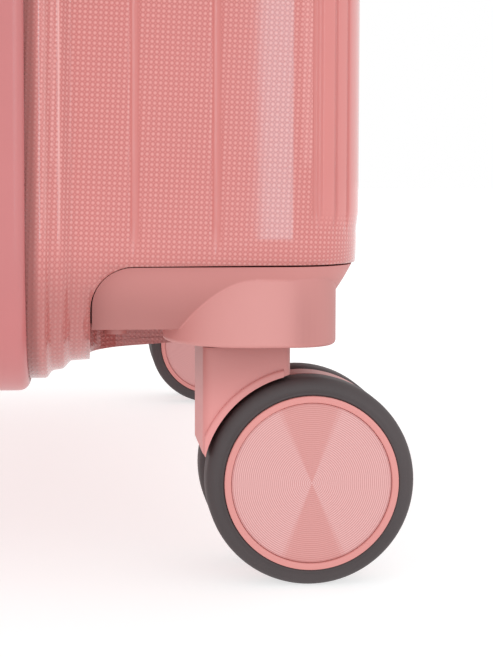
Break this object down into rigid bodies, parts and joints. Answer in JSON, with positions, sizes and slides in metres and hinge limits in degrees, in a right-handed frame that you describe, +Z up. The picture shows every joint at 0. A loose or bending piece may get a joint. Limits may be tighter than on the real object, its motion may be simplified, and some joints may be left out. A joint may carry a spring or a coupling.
{
  "type": "hard shell suitcase on wheels",
  "caption": "Upright hard-shell cabin suitcase with a closing frame, side-opening lid half, telescopic trolley handle, sprung carry handles and twin-wheel casters.",
  "frame": {"origin": "on the floor under the middle of the case, at the bottom centre of its box", "axes": "+Z up, +Y towards the base half's flat face and the trolley handle, +X towards the latches and the side handle"},
  "size_m": [0.406, 0.234, 0.55],
  "materials": {
    "pink_shell": "raised-dot moulded polycarbonate",
    "pink_frame": "smooth satin enamel",
    "pink_moulding": "satin moulded plastic",
    "tyre": "matte rubber",
    "rose_hub": "satin plastic with a turned trim disc",
    "steel": "plated",
    "gasket": "matte",
    "tube": "satin anodised",
    "rose_metal": "satin rose plating",
    "grip": "satin moulded plastic",
    "lining": "woven lining",
    "webbing": "woven webbing"
  },
  "bodies": {
    "base": {"base_shell": "pink_shell", "base_frame": "pink_frame", "frame_gasket": "gasket", "base_hinge_leaves": "rose_metal", "pivot_pins": "steel", "latch_bodies": "rose_metal", "base_side_feet": "pink_moulding", "carry_handle_mounts": "pink_moulding", "base_wheel_housings": "pink_moulding", "base_housing_screws": "steel", "base_lining": "lining", "packing_straps": "webbing", "trolley_outer_tubes": "tube", "trolley_foot_bracket": "steel", "trolley_bezel": "pink_moulding"},
    "lid": {"lid_shell": "pink_shell", "lid_frame": "pink_frame", "lid_hinge_leaves": "rose_metal", "latch_keepers": "rose_metal", "lid_side_feet": "pink_moulding", "lid_wheel_housings": "pink_moulding", "lid_housing_screws": "steel", "lid_lining": "lining", "divider_panel": "lining"},
    "trolley_middle": {"trolley_middle_tubes": "tube"},
    "trolley_inner": {"trolley_inner_tubes": "tube", "trolley_grip": "grip"},
    "trolley_release": {"trolley_button": "grip"},
    "top_handle": {"top_handle_grip": "grip"},
    "side_handle": {"side_handle_grip": "grip"},
    "upper_latch": {"upper_latch_lever": "rose_metal"},
    "lower_latch": {"lower_latch_lever": "rose_metal"},
    "lock_slider": {"lock_button": "rose_metal"},
    "dial_1": {"lock_dial_1": "rose_metal"},
    "dial_2": {"lock_dial_2": "rose_metal"},
    "dial_3": {"lock_dial_3": "rose_metal"},
    "back_right_caster": {"back_right_fork": "pink_moulding", "back_right_pins": "steel"},
    "back_right_outer_wheel": {"back_right_outer_tyre": "tyre", "back_right_outer_hub": "rose_hub"},
    "back_right_inner_wheel": {"back_right_inner_tyre": "tyre", "back_right_inner_hub": "rose_hub"},
    "back_left_caster": {"back_left_fork": "pink_moulding", "back_left_pins": "steel"},
    "back_left_outer_wheel": {"back_left_outer_tyre": "tyre", "back_left_outer_hub": "rose_hub"},
    "back_left_inner_wheel": {"back_left_inner_tyre": "tyre", "back_left_inner_hub": "rose_hub"},
    "front_right_caster": {"front_right_fork": "pink_moulding", "front_right_pins": "steel"},
    "front_right_outer_wheel": {"front_right_outer_tyre": "tyre", "front_right_outer_hub": "rose_hub"},
    "front_right_inner_wheel": {"front_right_inner_tyre": "tyre", "front_right_inner_hub": "rose_hub"},
    "front_left_caster": {"front_left_fork": "pink_moulding", "front_left_pins": "steel"},
    "front_left_outer_wheel": {"front_left_outer_tyre": "tyre", "front_left_outer_hub": "rose_hub"},
    "front_left_inner_wheel": {"front_left_inner_tyre": "tyre", "front_left_inner_hub": "rose_hub"}
  },
  "joints": [
    {"name": "lid_swing", "type": "hinge", "parent": "base", "child": "lid", "pos_m": [-0.195, 0, 0.29], "axis": [0, 0, -1], "range_deg": [0, 175]},
    {"name": "trolley_lower_stage", "type": "slide", "parent": "base", "child": "trolley_middle", "axis": [0, 0, 1], "range_m": [0, 0.205]},
    {"name": "trolley_upper_stage", "type": "slide", "parent": "trolley_middle", "child": "trolley_inner", "axis": [0, 0, 1], "range_m": [0, 0.215]},
    {"name": "trolley_release_press", "type": "slide", "parent": "trolley_inner", "child": "trolley_release", "axis": [0, 0, -1], "range_m": [0, 0.003], "stiffness_N_per_m": 800},
    {"name": "top_handle_lift", "type": "slide", "parent": "base", "child": "top_handle", "axis": [0, 0, 1], "range_m": [0, 0.012], "stiffness_N_per_m": 300},
    {"name": "side_handle_lift", "type": "slide", "parent": "base", "child": "side_handle", "axis": [1, 0, 0], "range_m": [0, 0.012], "stiffness_N_per_m": 300},
    {"name": "upper_latch_swing", "type": "hinge", "parent": "base", "child": "upper_latch", "pos_m": [0.1954, 0.011, 0.385], "axis": [0, 0, 1], "range_deg": [0, 100]},
    {"name": "lower_latch_swing", "type": "hinge", "parent": "base", "child": "lower_latch", "pos_m": [0.1954, 0.011, 0.195], "axis": [0, 0, 1], "range_deg": [0, 100]},
    {"name": "lock_slide", "type": "slide", "parent": "base", "child": "lock_slider", "axis": [0, 0, 1], "range_m": [0, 0.007], "stiffness_N_per_m": 300},
    {"name": "dial_1_turn", "type": "hinge", "parent": "base", "child": "dial_1", "pos_m": [0.1956, 0.0082, 0.27], "axis": [0, 0, 1], "continuous": true},
    {"name": "dial_2_turn", "type": "hinge", "parent": "base", "child": "dial_2", "pos_m": [0.1956, 0.0082, 0.276], "axis": [0, 0, 1], "continuous": true},
    {"name": "dial_3_turn", "type": "hinge", "parent": "base", "child": "dial_3", "pos_m": [0.1956, 0.0082, 0.282], "axis": [0, 0, 1], "continuous": true},
    {"name": "back_right_swivel", "type": "hinge", "parent": "base", "child": "back_right_caster", "pos_m": [0.1525, 0.074, 0.063], "axis": [0, 0, 1], "continuous": true},
    {"name": "back_right_outer_roll", "type": "hinge", "parent": "back_right_caster", "child": "back_right_outer_wheel", "pos_m": [0.164, 0.0895, 0.0275], "axis": [1, 0, 0], "continuous": true},
    {"name": "back_right_inner_roll", "type": "hinge", "parent": "back_right_caster", "child": "back_right_inner_wheel", "pos_m": [0.141, 0.0895, 0.0275], "axis": [1, 0, 0], "continuous": true},
    {"name": "back_left_swivel", "type": "hinge", "parent": "base", "child": "back_left_caster", "pos_m": [-0.1525, 0.074, 0.063], "axis": [0, 0, 1], "continuous": true},
    {"name": "back_left_outer_roll", "type": "hinge", "parent": "back_left_caster", "child": "back_left_outer_wheel", "pos_m": [-0.164, 0.0895, 0.0275], "axis": [1, 0, 0], "continuous": true},
    {"name": "back_left_inner_roll", "type": "hinge", "parent": "back_left_caster", "child": "back_left_inner_wheel", "pos_m": [-0.141, 0.0895, 0.0275], "axis": [1, 0, 0], "continuous": true},
    {"name": "front_right_swivel", "type": "hinge", "parent": "lid", "child": "front_right_caster", "pos_m": [0.1525, -0.074, 0.063], "axis": [0, 0, 1], "continuous": true},
    {"name": "front_right_outer_roll", "type": "hinge", "parent": "front_right_caster", "child": "front_right_outer_wheel", "pos_m": [0.164, -0.0895, 0.0275], "axis": [1, 0, 0], "continuous": true},
    {"name": "front_right_inner_roll", "type": "hinge", "parent": "front_right_caster", "child": "front_right_inner_wheel", "pos_m": [0.141, -0.0895, 0.0275], "axis": [1, 0, 0], "continuous": true},
    {"name": "front_left_swivel", "type": "hinge", "parent": "lid", "child": "front_left_caster", "pos_m": [-0.1525, -0.074, 0.063], "axis": [0, 0, 1], "continuous": true},
    {"name": "front_left_outer_roll", "type": "hinge", "parent": "front_left_caster", "child": "front_left_outer_wheel", "pos_m": [-0.164, -0.0895, 0.0275], "axis": [1, 0, 0], "continuous": true},
    {"name": "front_left_inner_roll", "type": "hinge", "parent": "front_left_caster", "child": "front_left_inner_wheel", "pos_m": [-0.141, -0.0895, 0.0275], "axis": [1, 0, 0], "continuous": true}
  ]
}
